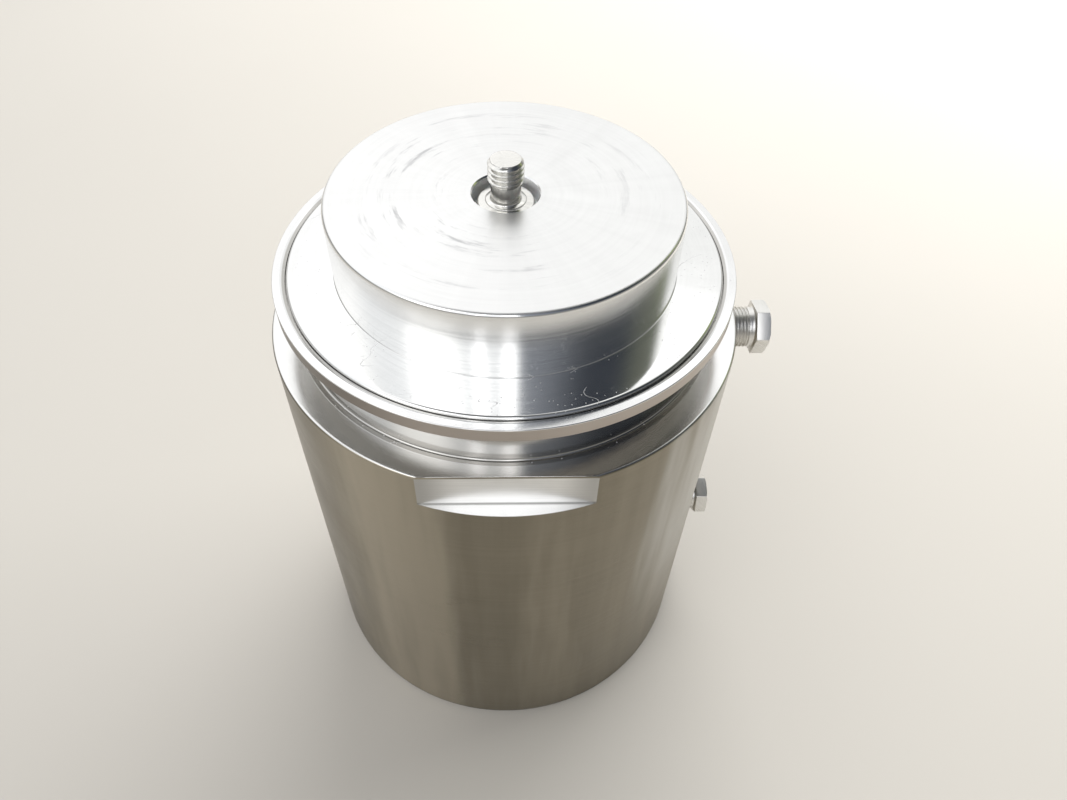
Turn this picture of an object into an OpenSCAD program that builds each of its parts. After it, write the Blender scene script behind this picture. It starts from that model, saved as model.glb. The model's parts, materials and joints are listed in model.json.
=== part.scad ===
/* [Jacket] */
// Outside diameter of the jacket
body_d = 180; // [179:0.5:184]
// Height of the shoulder above the bench
shoulder_h = 188.5; // [187:0.5:192]
// Wall of the jacket
jacket_wall = 4; // [3.5:0.5:5]
// Height of the thick ring at the top of the jacket
top_ring_h = 24; // [23:0.5:25]
// Bore of the thick ring
top_ring_bore = 140; // [138:1:142]
// Distance between the two wrench flats
across_flats = 169.6; // [168:0.2:172]
// Height of the wrench flats below the shoulder
flat_h = 15; // [12:0.5:16]
// Thickness of the base plate
base_t = 10; // [9:0.5:11]
// Number of base screws
base_screw_n = 8; // [6:1:12]

/* [Neck] */
// Outside diameter of the neck
neck_d = 156; // [154:0.5:158]
// Length of the neck between the shoulder and the flange
neck_h = 18.7; // [18:0.1:20]
// Outside diameter of the flange
flange_d = 170; // [169:0.5:172]
// Thickness of the flange
flange_t = 5.3; // [5:0.1:6]
// Bore of the neck, which holds the neck tube
neck_bore = 116; // [114:1:118]
// Wall of the neck tube
neck_tube_wall = 1; // [0.8:0.1:1.2]

/* [Lid] */
// Diameter of the lid plate
lid_plate_d = 160.4; // [159:0.2:161]
// Depth of the seat that the lid plate lies in
lid_seat = 3.5; // [3:0.1:3.6]
// Width of the lead-in chamfer around the seat
seat_lead = 1.7; // [1:0.1:2]
// Depth of the lead-in chamfer around the seat
seat_lead_depth = 0.9; // [0.5:0.1:1.2]
// Diameter of the lid boss
boss_d = 126.4; // [125:0.2:128]
// Height of the lid boss above its plate
boss_h = 27; // [26:0.5:28]
// Chamfer on the boss's top edge
boss_chamfer = 1.4; // [1:0.1:1.6]
// Diameter of the clearance hole around the stud
well_d = 23.6; // [23:0.2:25]
// Depth of the clearance hole
well_depth = 7; // [6.5:0.5:8]
// Length of the foam stopper below the lid plate
stopper_h = 49; // [45:1:50]

/* [Lift rod] */
// Major diameter of the stud thread, 1/2 inch
stud_d = 12.7; // [12.5:0.1:12.9]
// Diameter of the plain neck below the thread
stud_neck_d = 10.6; // [10:0.1:11]
// Height of the stud's tip above the lid
stud_out = 13; // [12.5:0.5:14]
// Length of the stud thread with its tip
stud_thread = 11.5; // [11:0.5:12]
// Diameter of the collar
collar_d = 20.4; // [19:0.2:21]
// Thickness of the collar
collar_t = 3; // [2.5:0.1:3.2]

/* [Port plugs] */
// Height of the vacuum port
vacuum_port_h = 175.5; // [174.5:0.5:176]
// Diameter of its plug's thread, 3/8 inch pipe size
vacuum_thread_d = 16.5; // [16:0.1:17]
// Hexagon of its plug, across flats
vacuum_hex = 19; // [18:0.5:20]
// Distance from the jacket to its plug's head
vacuum_standoff = 9.9; // [8:0.1:11]
// Height of the gauge port
gauge_port_h = 57; // [50:1:70]
// Diameter of its plug's thread, 1/4 inch pipe size
gauge_thread_d = 13.5; // [13:0.1:13.8]
// Hexagon of its plug, across flats
gauge_hex = 17.5; // [17:0.5:18]
// Distance from the jacket to its plug's head
gauge_standoff = 6.2; // [5:0.1:8]
// Thickness of both plugs' heads
hex_t = 5.7; // [5:0.1:6]

/* [Inside] */
// Outside diameter of the inner vessel
vessel_d = 140; // [138:1:141]
// Wall of the inner vessel
vessel_wall = 1.5; // [1:0.1:2]
// Height of the inner vessel's underside
vessel_z = 34; // [33:0.5:35]
// Height of the inner vessel's top
vessel_top_z = 156; // [154:0.5:156]
// Diameter of the sample canister
canister_d = 62; // [50:1:64]
// Height of the sample canister
canister_h = 60; // [50:1:62]

/* [Hidden] */
$fn = 96;

body_r = body_d / 2;
jacket_bore_r = body_r - jacket_wall;
edge = 0.8;                 // edge breaks on turned parts
run = 0.05;                 // radial clearance of a running fit
slack = 0.3;                // gap between parts that lift apart

// base joint
base_r = body_r - 1.8;
base_flange_bore_r = body_r - 12;
base_flange_top = base_t + 6;
base_screw_pcr = body_r - 6;
seal_r = body_r - 9.9;      // mean radius of the base O-ring
seal_w = 2.4;
seal_h = 1.8;

// neck and flange
ring_bore_r = top_ring_bore / 2;
ring_z = shoulder_h - top_ring_h;
neck_r = neck_d / 2;
flange_r = flange_d / 2;
flange_z = shoulder_h + neck_h;
flange_top = flange_z + flange_t;
seat_z = flange_top - lid_seat;
seat_r = lid_plate_d / 2 + slack;
spigot_z = shoulder_h - 4.2;
neck_bore_r = neck_bore / 2;
neck_inner_r = neck_bore_r - neck_tube_wall;
neck_fillet = 2.5;
neck_lip = 0.3;             // height of the fillet's outer edge
lid_seal_r = 71;            // mean radius of the lid seal
lid_seal_w = 3;
lid_seal_h = 1.8;

// lid
lid_plate_r = lid_plate_d / 2;
lid_plate_top = flange_top + 0.1;
lid_top = flange_top + boss_h;
boss_r = boss_d / 2;
well_r = well_d / 2;
well_z = lid_top - well_depth;
lid_cavity_r = neck_inner_r;
lid_cavity_z = lid_top - 10;
hub_r = 16;
hub_z = seat_z - 3;
bush_r = 8;
bush_z = hub_z + 3.5;
clip_t = 1;
clip_z = bush_z - clip_t;
bolt_r = 2;
bolt_pcr = 36;
bolt_n = 3;

// stopper
stopper_r = neck_inner_r - 0.6;
stopper_z = seat_z - stopper_h;
baffle_t = 1.5;
baffle_r = neck_inner_r - 1;
rod_gap_r = stud_neck_d / 2 + 1.2;

// lift rod, from its tip down
rod_r = stud_neck_d / 2;
washer_t = 1;
collar_z = well_z + washer_t;
stud_tip_z = lid_top + stud_out;
stud_z = stud_tip_z - stud_thread;
tip_chamfer = 1.1;
rod_end_z = vessel_z + 4.5;

// canister
canister_r = canister_d / 2;
canister_z = vessel_z + 12;
canister_floor = 2;
canister_wall = 1;
nut_t = 5;
nut_af = 17;
drain_n = 8;

// ports
port_gap = 0.05;
vacuum_hex_turn = 17;       // how far each hexagon is turned about its axis
gauge_hex_turn = 45;
boss_in = body_r - 12.5;    // inner end of the weld-in boss
tape_t = 0.6;

// inner vessel
vessel_r = vessel_d / 2;
vessel_floor = 3;
wrap_in = vessel_r + 0.5;
wrap_t = 3;
wrap_z = vessel_z - 13;
wrap_top = vessel_top_z + 3.8;
shield_r = vessel_r + 6;
shield_t = 1;
shield_z = wrap_z - 2;
shield_top = wrap_top + 2.7;
getter_in = 18;
getter_out = 42;
getter_h = 8;
post_r = 8;
post_z = base_t - 4;
post_top = vessel_z - 2;

// ---- shared shapes ----------------------------------------------------

// a tube standing on z
module tube(r_out, r_in, z0, z1) {
    translate([0, 0, z0]) difference() {
        cylinder(r = r_out, h = z1 - z0);
        translate([0, 0, -1]) cylinder(r = r_in, h = z1 - z0 + 2);
    }
}

// a round bar along X
module bar_x(r, x0, x1, z) {
    translate([x0, 0, z]) rotate([0, 90, 0]) cylinder(r = r, h = x1 - x0);
}

// a hexagon head along X with its outer corners turned off
module hex_x(af, x0, t, z, turn) {
    corner = af / 2 / cos(30);
    translate([x0, 0, z]) rotate([0, 90, 0]) intersection() {
        rotate([0, 0, turn]) cylinder(r = corner, h = t, $fn = 6);
        union() {
            cylinder(r = corner + 1, h = t - 1.2);
            translate([0, 0, t - 1.2]) cylinder(r1 = corner + 0.1, r2 = af / 2 - 0.2, h = 1.2);
        }
    }
}

// a hexagon nut or head standing on z
module hex_z(af, z0, t) {
    translate([0, 0, z0]) cylinder(r = af / 2 / cos(30), h = t, $fn = 6);
}

module around(n, r, start = 0) {
    for (i = [0 : n - 1]) rotate([0, 0, start + i * 360 / n]) translate([r, 0, 0]) children();
}

// ---- vacuum vessel ------------------------------------------------------

module wrench_flat(side) {
    depth = body_r - across_flats / 2;
    translate([-body_r, side > 0 ? across_flats / 2 : -across_flats / 2 - depth - 1,
               shoulder_h - flat_h])
        cube([body_d, depth + 1, flat_h + 1]);
}

module outer_jacket() {
    color([0.62, 0.61, 0.58]) difference() {
        rotate_extrude() polygon([
            [base_r, 0], [body_r - edge, 0], [body_r, edge],
            [body_r, shoulder_h - edge], [body_r - edge, shoulder_h],
            [ring_bore_r, shoulder_h], [ring_bore_r, ring_z],
            [jacket_bore_r, ring_z], [jacket_bore_r, base_flange_top],
            [base_flange_bore_r, base_flange_top], [base_flange_bore_r, base_t],
            [base_r, base_t]]);
        wrench_flat(1);
        wrench_flat(-1);
        bar_x(vacuum_thread_d / 2 + port_gap, ring_bore_r - 10, body_r + 5, vacuum_port_h);
        bar_x(gauge_thread_d / 2 + port_gap, ring_bore_r, body_r + 5, gauge_port_h);
        around(base_screw_n, base_screw_pcr, 22.5)
            translate([0, 0, base_t - 1]) cylinder(r = 2, h = base_flange_top - base_t);
    }
}

module base_plate() {
    color([0.6, 0.6, 0.58]) difference() {
        cylinder(r = base_r, h = base_t);
        translate([0, 0, base_t - seal_h]) tube(seal_r + seal_w / 2, seal_r - seal_w / 2, 0, seal_h + 1);
        translate([0, 0, post_z]) cylinder(r = post_r + 0.1, h = base_t);
        around(base_screw_n, base_screw_pcr, 22.5) {
            translate([0, 0, -1]) cylinder(r = 2.15, h = base_t + 2);
            translate([0, 0, -1]) cylinder(r = 3.6, h = 5.6);
        }
    }
}

module base_seal() {
    color([0.08, 0.08, 0.08])
        tube(seal_r + seal_w / 2 - 0.05, seal_r - seal_w / 2 + 0.05, base_t - seal_h, base_t);
}

module base_screws() {
    color([0.5, 0.5, 0.5]) around(base_screw_n, base_screw_pcr, 22.5) {
        difference() {
            translate([0, 0, 0.6]) cylinder(r = 3.5, h = 4);
            translate([0, 0, -0.4]) cylinder(r = 3 / 2 / cos(30), h = 3, $fn = 6);
        }
        translate([0, 0, 4.6]) cylinder(r = 2, h = base_flange_top - 1.5 - 4.6);
    }
}

module gauge_port_boss() {
    color([0.62, 0.61, 0.58]) difference() {
        intersection() {
            bar_x(12, boss_in, body_r, gauge_port_h);
            cylinder(r = jacket_bore_r, h = shoulder_h);
        }
        bar_x(gauge_thread_d / 2 + port_gap, boss_in - 1, body_r, gauge_port_h);
    }
}

// ---- neck -----------------------------------------------------------------

module neck_flange() {
    color([0.74, 0.74, 0.73]) difference() {
        rotate_extrude() difference() {
            polygon([
                [neck_bore_r, spigot_z], [ring_bore_r, spigot_z], [ring_bore_r, shoulder_h],
                [neck_r + neck_fillet, shoulder_h], [neck_r + neck_fillet, shoulder_h + neck_lip],
                [neck_r, shoulder_h + neck_lip + neck_fillet],
                [neck_r, flange_z], [flange_r - 0.3, flange_z], [flange_r, flange_z + 0.3],
                [flange_r, flange_top - 0.35], [flange_r - 0.35, flange_top],
                [seat_r + seat_lead, flange_top], [seat_r, flange_top - seat_lead_depth], [seat_r, seat_z],
                [neck_bore_r, seat_z]]);
            translate([neck_r + neck_fillet, shoulder_h + neck_lip + neck_fillet]) circle(r = neck_fillet);
        }
        tube(lid_seal_r + lid_seal_w / 2, lid_seal_r - lid_seal_w / 2, seat_z - lid_seal_h, seat_z + 1);
    }
}

module neck_tube() {
    color([0.68, 0.68, 0.66]) tube(neck_bore_r, neck_inner_r, vessel_top_z - 3, seat_z - 2);
}

module lid_seal() {
    color([0.92, 0.92, 0.9]) tube(lid_seal_r + lid_seal_w / 2 - 0.05, lid_seal_r - lid_seal_w / 2 + 0.05,
                                 seat_z - lid_seal_h, seat_z);
}

// ---- cold parts -------------------------------------------------------------

module inner_vessel() {
    color([0.7, 0.7, 0.7]) difference() {
        translate([0, 0, vessel_z]) cylinder(r = vessel_r, h = vessel_top_z - 3 - vessel_z);
        translate([0, 0, vessel_z + vessel_floor])
            cylinder(r = vessel_r - vessel_wall, h = vessel_top_z);
    }
}

module vessel_top() {
    color([0.7, 0.7, 0.7]) {
        tube(vessel_r, neck_bore_r, vessel_top_z - 3, vessel_top_z);
        tube(neck_bore_r + 2, neck_bore_r, vessel_top_z - 1, vessel_top_z + 4);
    }
}

module radiation_shield() {
    color([0.8, 0.55, 0.4]) {
        tube(shield_r, shield_r - shield_t, shield_z, shield_top);
        tube(shield_r - shield_t / 2, neck_bore_r + run, shield_top - shield_t, shield_top);
        tube(shield_r - shield_t / 2, post_r + 1, shield_z, shield_z + shield_t);
    }
}

module superinsulation() {
    color([0.82, 0.82, 0.84]) {
        tube(wrap_in + wrap_t, wrap_in, wrap_z, wrap_top);
        tube(wrap_in + wrap_t / 2, neck_bore_r + 2.5, wrap_top - wrap_t, wrap_top);
        tube(wrap_in + wrap_t / 2, post_r + 5, wrap_z, wrap_z + wrap_t);
    }
}

module getter_cup() {
    color([0.75, 0.75, 0.72]) difference() {
        tube(getter_out, getter_in, vessel_z - getter_h, vessel_z);
        tube(getter_out - 1, getter_in + 1, vessel_z - getter_h + 1, vessel_z + 1);
    }
}

module adsorbent() {
    color([0.85, 0.8, 0.7])
        tube(getter_out - 1, getter_in + 1, vessel_z - getter_h + 1, vessel_z - 0.5);
}

module support_post() {
    color([0.72, 0.75, 0.45]) translate([0, 0, post_z]) cylinder(r = post_r, h = post_top - post_z);
}

module locating_cup() {
    color([0.7, 0.7, 0.7]) difference() {
        translate([0, 0, vessel_z - 6]) cylinder(r = 12, h = 6);
        translate([0, 0, vessel_z - 7]) cylinder(r = post_r + 0.1, h = 5);
    }
}

// ---- lid group --------------------------------------------------------------

module lid() {
    round_r = 1.2;
    color([0.78, 0.78, 0.77]) difference() {
        rotate_extrude() union() {
            polygon([
                [0, hub_z], [hub_r, hub_z], [hub_r, lid_cavity_z], [lid_cavity_r, lid_cavity_z],
                [lid_cavity_r, seat_z], [lid_plate_r, seat_z], [lid_plate_r, lid_plate_top - round_r],
                [lid_plate_r - round_r, lid_plate_top - round_r], [lid_plate_r - round_r, lid_plate_top],
                [boss_r, lid_plate_top], [boss_r, lid_top - boss_chamfer],
                [boss_r - boss_chamfer, lid_top], [0, lid_top]]);
            translate([lid_plate_r - round_r, lid_plate_top - round_r]) circle(r = round_r);
        }
        translate([0, 0, well_z]) cylinder(r = well_r, h = well_depth + 1);
        translate([0, 0, lid_top - 0.5]) cylinder(r1 = well_r, r2 = well_r + 1, h = 1);
        translate([0, 0, hub_z - 1]) cylinder(r = bush_r, h = well_z - hub_z + 2);
        translate([0, 0, clip_z]) cylinder(r = bush_r + 0.6, h = clip_t);
        around(bolt_n, bolt_pcr, 30)
            translate([0, 0, lid_cavity_z - 1]) cylinder(r = bolt_r, h = 6);
    }
}

module stopper() {
    color([0.93, 0.9, 0.8]) difference() {
        union() {
            translate([0, 0, stopper_z]) cylinder(r = stopper_r, h = lid_cavity_z - stopper_z);
        }
        translate([0, 0, hub_z - 0.5]) cylinder(r = hub_r + 0.3, h = 60);
        translate([0, 0, stopper_z - 1]) cylinder(r = rod_gap_r, h = 80);
        around(bolt_n, bolt_pcr, 30) translate([0, 0, stopper_z - 1]) cylinder(r = bolt_r + 0.2, h = 90);
    }
}

module baffle_plate() {
    color([0.75, 0.75, 0.74]) difference() {
        translate([0, 0, stopper_z - baffle_t]) cylinder(r = baffle_r, h = baffle_t);
        translate([0, 0, stopper_z - 10]) cylinder(r = rod_gap_r, h = 20);
        around(bolt_n, bolt_pcr, 30) translate([0, 0, stopper_z - 10]) cylinder(r = bolt_r + 0.1, h = 20);
    }
}

module stopper_bolts() {
    head_z = stopper_z - baffle_t - 2.8;
    color([0.6, 0.6, 0.6]) around(bolt_n, bolt_pcr, 30) {
        hex_z(7, head_z, 2.8);
        translate([0, 0, head_z + 2.8]) cylinder(r = bolt_r, h = lid_cavity_z + 4 - head_z - 2.8);
    }
}

module rod_bush() {
    color([0.9, 0.9, 0.88]) tube(bush_r, rod_r + run, bush_z, well_z);
}

module bush_circlip() {
    color([0.35, 0.35, 0.36]) difference() {
        tube(bush_r + 0.5, bush_r - 1.4, clip_z, clip_z + clip_t);
        translate([0, -2, clip_z - 1]) cube([12, 4, 4]);
    }
}

module seat_washer() {
    color([0.92, 0.92, 0.9]) tube(collar_d / 2 + 0.8, rod_r + slack, well_z, collar_z);
}

// ---- lift rod and canister ----------------------------------------------------

module lift_rod() {
    bead_r = 7.2;
    color([0.8, 0.8, 0.78]) {
        translate([0, 0, rod_end_z]) cylinder(r = rod_r, h = stud_z - rod_end_z);
        translate([0, 0, collar_z]) {
            cylinder(r = collar_d / 2, h = collar_t - 0.6);
            translate([0, 0, collar_t - 0.6]) cylinder(r1 = collar_d / 2, r2 = collar_d / 2 - 0.6, h = 0.6);
            translate([0, 0, collar_t]) cylinder(r = bead_r, h = 0.5);
        }
        translate([0, 0, stud_z]) cylinder(r = stud_d / 2, h = stud_thread - tip_chamfer);
        translate([0, 0, stud_tip_z - tip_chamfer])
            cylinder(r1 = stud_d / 2, r2 = stud_d / 2 - tip_chamfer, h = tip_chamfer);
    }
}

module canister() {
    color([0.75, 0.75, 0.75]) difference() {
        translate([0, 0, canister_z]) cylinder(r = canister_r, h = canister_h);
        translate([0, 0, canister_z + canister_floor])
            cylinder(r = canister_r - canister_wall, h = canister_h);
        translate([0, 0, canister_z - 1]) cylinder(r = rod_r, h = 10);
        around(drain_n, canister_r * 0.62)
            translate([0, 0, canister_z - 1]) cylinder(r = 3, h = canister_floor + 2);
        for (row = [0 : 1]) for (i = [0 : drain_n / 2 - 1])
            rotate([0, 0, (i + row / 2) * 360 / drain_n])
                bar_x(3, -canister_r - 1, canister_r + 1, canister_z + 16 + row * 22);
    }
}

module canister_bridge() {
    color([0.7, 0.7, 0.7]) difference() {
        union() {
            translate([-5, -canister_r + canister_wall, canister_z + canister_h - 3])
                cube([10, 2 * (canister_r - canister_wall), 3]);
            translate([0, 0, canister_z + canister_h - 3]) cylinder(r = 9, h = 6);
        }
        translate([0, 0, canister_z]) cylinder(r = rod_r, h = canister_h + 10);
        difference() {
            translate([0, 0, canister_z + canister_h - 4]) cylinder(r = canister_r + 5, h = 8);
            translate([0, 0, canister_z + canister_h - 5]) cylinder(r = canister_r - canister_wall, h = 10);
        }
    }
}

module canister_nuts() {
    color([0.6, 0.6, 0.6]) difference() {
        union() {
            hex_z(nut_af, canister_z - nut_t, nut_t);
            hex_z(nut_af, canister_z + canister_floor, nut_t);
        }
        translate([0, 0, canister_z - 10]) cylinder(r = rod_r, h = 30);
    }
}

// ---- port plugs -----------------------------------------------------------------

// a pipe plug with a plain stretch at its inner end for the thread tape
module port_plug(d, af, standoff, z, turn, x_end) {
    tape_x = body_r - 3;
    bar_x(d / 2 - tape_t, x_end, tape_x, z);
    bar_x(d / 2, tape_x, body_r + standoff, z);
    hex_x(af, body_r + standoff, hex_t, z, turn);
}

module port_tape(d, z, x_end) {
    difference() {
        bar_x(d / 2, x_end + 1, body_r - 3, z);
        bar_x(d / 2 - tape_t, x_end, body_r, z);
    }
}

vacuum_plug_end = body_r - 12;
gauge_plug_end = boss_in + 1;

module vacuum_port_plug() {
    color([0.8, 0.79, 0.76]) port_plug(vacuum_thread_d, vacuum_hex, vacuum_standoff,
                                      vacuum_port_h, vacuum_hex_turn, vacuum_plug_end);
}

module vacuum_port_tape() {
    color([0.95, 0.95, 0.93]) port_tape(vacuum_thread_d, vacuum_port_h, vacuum_plug_end);
}

module gauge_port_plug() {
    color([0.72, 0.72, 0.71]) port_plug(gauge_thread_d, gauge_hex, gauge_standoff,
                                       gauge_port_h, gauge_hex_turn, gauge_plug_end);
}

module gauge_port_tape() {
    color([0.95, 0.95, 0.93]) port_tape(gauge_thread_d, gauge_port_h, gauge_plug_end);
}

outer_jacket();
base_plate();
base_seal();
base_screws();
neck_flange();
neck_tube();
inner_vessel();
vessel_top();
radiation_shield();
superinsulation();
getter_cup();
adsorbent();
support_post();
locating_cup();
gauge_port_boss();
lid_seal();
lid();
stopper();
baffle_plate();
stopper_bolts();
rod_bush();
bush_circlip();
seat_washer();
lift_rod();
canister();
canister_bridge();
canister_nuts();
vacuum_port_plug();
vacuum_port_tape();
gauge_port_plug();
gauge_port_tape();
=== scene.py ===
import json
import math

import bmesh
import bpy
from mathutils import Matrix, Vector


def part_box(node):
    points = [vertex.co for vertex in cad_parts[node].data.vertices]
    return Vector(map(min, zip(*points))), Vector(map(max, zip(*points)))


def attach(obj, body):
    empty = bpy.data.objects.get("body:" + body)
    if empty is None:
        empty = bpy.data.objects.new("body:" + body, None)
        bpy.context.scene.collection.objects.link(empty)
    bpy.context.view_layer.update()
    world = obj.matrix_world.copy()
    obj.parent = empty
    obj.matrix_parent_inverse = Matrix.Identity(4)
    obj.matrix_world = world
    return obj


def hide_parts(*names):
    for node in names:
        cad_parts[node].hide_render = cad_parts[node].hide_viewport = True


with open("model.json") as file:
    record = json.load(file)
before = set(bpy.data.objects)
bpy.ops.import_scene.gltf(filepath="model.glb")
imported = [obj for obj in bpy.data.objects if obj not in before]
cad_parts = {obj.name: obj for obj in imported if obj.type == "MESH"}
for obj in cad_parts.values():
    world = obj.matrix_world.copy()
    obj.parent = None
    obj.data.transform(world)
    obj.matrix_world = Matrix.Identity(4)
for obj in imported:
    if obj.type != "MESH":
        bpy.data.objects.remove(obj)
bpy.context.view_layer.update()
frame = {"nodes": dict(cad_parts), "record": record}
NODES = frame["nodes"]
RECORD = frame["record"]
MM = 0.001


# ---- sizes read from the frame ---------------------------------------------

def half_width(node):
    """Half of the node's size along Y: its radius, where it is round."""
    lo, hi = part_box(node)
    return (hi.y - lo.y) / 2


JACKET_R = half_width("outer_jacket")
SHOULDER_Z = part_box("outer_jacket")[1].z
FLANGE_R = half_width("neck_flange")
FLANGE_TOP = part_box("neck_flange")[1].z
SPIGOT_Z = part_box("neck_flange")[0].z
LID_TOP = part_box("lid")[1].z
HUB_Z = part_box("lid")[0].z
ROD_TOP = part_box("lift_rod")[1].z
ROD_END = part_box("lift_rod")[0].z
COLLAR_R = half_width("lift_rod")
COLLAR_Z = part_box("seat_washer")[1].z
BUSH_R = half_width("rod_bush")
TUBE_R = half_width("neck_tube")

MOUNTS = {m["name"]: m for m in RECORD["mounts"]}
STUD_R = MOUNTS["lift_stud"]["dims"]["r_mm"] * MM
STUD_PITCH = 1.954 * MM          # 13 threads to the inch
STUD_THREAD = 8.6 * MM
STUD_PHASE = 0.596               # turns; sets where the thread's roots stand at the front
PORT_PITCH = 1.411 * MM          # 18 threads to the inch
ROD_R = 5.3 * MM
COLLAR_T = 3 * MM

# lid and neck details that the frame's boxes don't give
LID_PLATE_R = 80.2 * MM
LID_PLATE_TOP = FLANGE_TOP + 0.1 * MM
LEDGE_Z = SHOULDER_Z - 15 * MM
SEAT_Z = FLANGE_TOP - 3.5 * MM
SEAT_R = LID_PLATE_R + 0.3 * MM
BOSS_R = 63.2 * MM
BOSS_CHAMFER = 1.4 * MM
WELL_R = 11.8 * MM
WELL_Z = LID_TOP - 7 * MM
CAVITY_R = 57 * MM
CAVITY_Z = LID_TOP - 10 * MM
NECK_R = 78 * MM
NECK_FILLET = 2.5 * MM
NECK_LIP = 0.3 * MM
SEAT_LEAD = 1.7 * MM
SEAT_LEAD_DEPTH = 0.9 * MM
RING_BORE_R = 70 * MM
RING_BORE_DEPTH = 24 * MM
HUB_R = 16 * MM
FLANGE_Z = FLANGE_TOP - 5.3 * MM
NOTCH_HALF = 30.3 * MM           # half the length of a wrench flat


# ---- node graph helpers ----------------------------------------------------

class Graph:
    """A material's node graph with short calls for the nodes used here."""

    def __init__(self, name, world=None):
        self.material = world or bpy.data.materials.new(name)
        self.material.use_nodes = True
        self.tree = self.material.node_tree
        self.bsdf = self.tree.nodes.get("Principled BSDF")

    def add(self, kind, **settings):
        node = self.tree.nodes.new(kind)
        for key, value in settings.items():
            setattr(node, key, value)
        return node

    def put(self, socket, value):
        if isinstance(value, bpy.types.NodeSocket):
            self.tree.links.new(value, socket)
        elif value is not None:
            socket.default_value = value

    def math(self, operation, a, b=None, clamp=False):
        node = self.add("ShaderNodeMath", operation=operation, use_clamp=clamp)
        self.put(node.inputs[0], a)
        self.put(node.inputs[1], b)
        return node.outputs[0]

    def vector(self, x, y, z):
        node = self.add("ShaderNodeCombineXYZ")
        for socket, value in zip(node.inputs, (x, y, z)):
            self.put(socket, value)
        return node.outputs[0]

    def noise(self, vector, scale, detail=3.0, rough=0.5, distortion=0.0):
        node = self.add("ShaderNodeTexNoise")
        self.put(node.inputs["Vector"], vector)
        node.inputs["Scale"].default_value = scale
        node.inputs["Detail"].default_value = detail
        node.inputs["Roughness"].default_value = rough
        node.inputs["Distortion"].default_value = distortion
        return node.outputs["Fac"]

    def voronoi(self, vector, scale, feature="F1", dimensions="3D"):
        node = self.add("ShaderNodeTexVoronoi", feature=feature, voronoi_dimensions=dimensions)
        self.put(node.inputs["Vector"], vector)
        node.inputs["Scale"].default_value = scale
        return node.outputs["Distance"]

    def remap(self, value, a, b, c, d):
        node = self.add("ShaderNodeMapRange")
        self.put(node.inputs["Value"], value)
        for key, number in (("From Min", a), ("From Max", b), ("To Min", c), ("To Max", d)):
            node.inputs[key].default_value = number
        return node.outputs["Result"]

    def ramp(self, value, a, b):
        """0 below a, 1 above b, smooth between; falls instead where a is above b."""
        node = self.add("ShaderNodeMapRange", interpolation_type="SMOOTHSTEP")
        self.put(node.inputs["Value"], value)
        low, high = min(a, b), max(a, b)
        for key, number in (("From Min", low), ("From Max", high), ("To Min", float(a > b)),
                            ("To Max", float(b > a))):
            node.inputs[key].default_value = number
        return node.outputs["Result"]

    def band(self, value, a, b, soft_a, soft_b=None):
        """1 between a and b, with soft ends."""
        soft_b = soft_a if soft_b is None else soft_b
        return self.math("MULTIPLY", self.ramp(value, a - soft_a, a + soft_a),
                         self.ramp(value, b + soft_b, b - soft_b))

    def blend(self, factor, a, b):
        node = self.add("ShaderNodeMix", data_type="FLOAT")
        self.put(node.inputs["Factor"], factor)
        self.put(node.inputs[2], a)
        self.put(node.inputs[3], b)
        return node.outputs[0]

    def mix(self, factor, a, b):
        node = self.add("ShaderNodeMix", data_type="RGBA")
        self.put(node.inputs["Factor"], factor)
        self.put(node.inputs[6], a if isinstance(a, bpy.types.NodeSocket) else (*a, 1))
        self.put(node.inputs[7], b if isinstance(b, bpy.types.NodeSocket) else (*b, 1))
        return node.outputs[2]

    def bump(self, height, strength, distance, normal=None):
        node = self.add("ShaderNodeBump")
        node.inputs["Strength"].default_value = strength
        node.inputs["Distance"].default_value = distance
        self.put(node.inputs["Height"], height)
        self.put(node.inputs["Normal"], normal)
        return node.outputs["Normal"]


class Turned:
    """Coordinates of a part turned about an axis: around it, out from it and along it."""

    def __init__(self, g, axis="Z", centre=(0, 0, 0)):
        coord = g.add("ShaderNodeTexCoord")
        place = coord.outputs["Object"]
        split = g.add("ShaderNodeSeparateXYZ")
        g.put(split.inputs[0], place)
        facing = g.add("ShaderNodeSeparateXYZ")
        g.put(facing.inputs[0], coord.outputs["Normal"])
        self.up = facing.outputs[2]
        x, y, z = (g.math("SUBTRACT", split.outputs[i], centre[i]) for i in range(3))
        along, a, b = {"Z": (z, x, y), "X": (x, y, z)}[axis]
        self.g = g
        self.place = place
        self.along = along
        self.x, self.y, self.z = x, y, z
        self.out = g.math("SQRT", g.math("ADD", g.math("MULTIPLY", a, a), g.math("MULTIPLY", b, b)))
        safe = g.math("MAXIMUM", self.out, 1e-5)
        self.cos = g.math("DIVIDE", a, safe)
        self.sin = g.math("DIVIDE", b, safe)
        self.step = g.math("ADD", self.along, self.out)

    def rings(self, per_mm, around=0.6):
        """Coordinates that vary fast along the profile and slowly around: tool marks."""
        g = self.g
        return g.vector(g.math("MULTIPLY", self.cos, around), g.math("MULTIPLY", self.sin, around),
                        g.math("MULTIPLY", self.step, per_mm / MM))

    def streaks(self, around=10.0, along=6.0):
        """Coordinates that vary fast around and slowly along: vertical streaks."""
        g = self.g
        return g.vector(g.math("MULTIPLY", self.cos, around), g.math("MULTIPLY", self.sin, around),
                        g.math("MULTIPLY", self.along, along))


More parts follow.
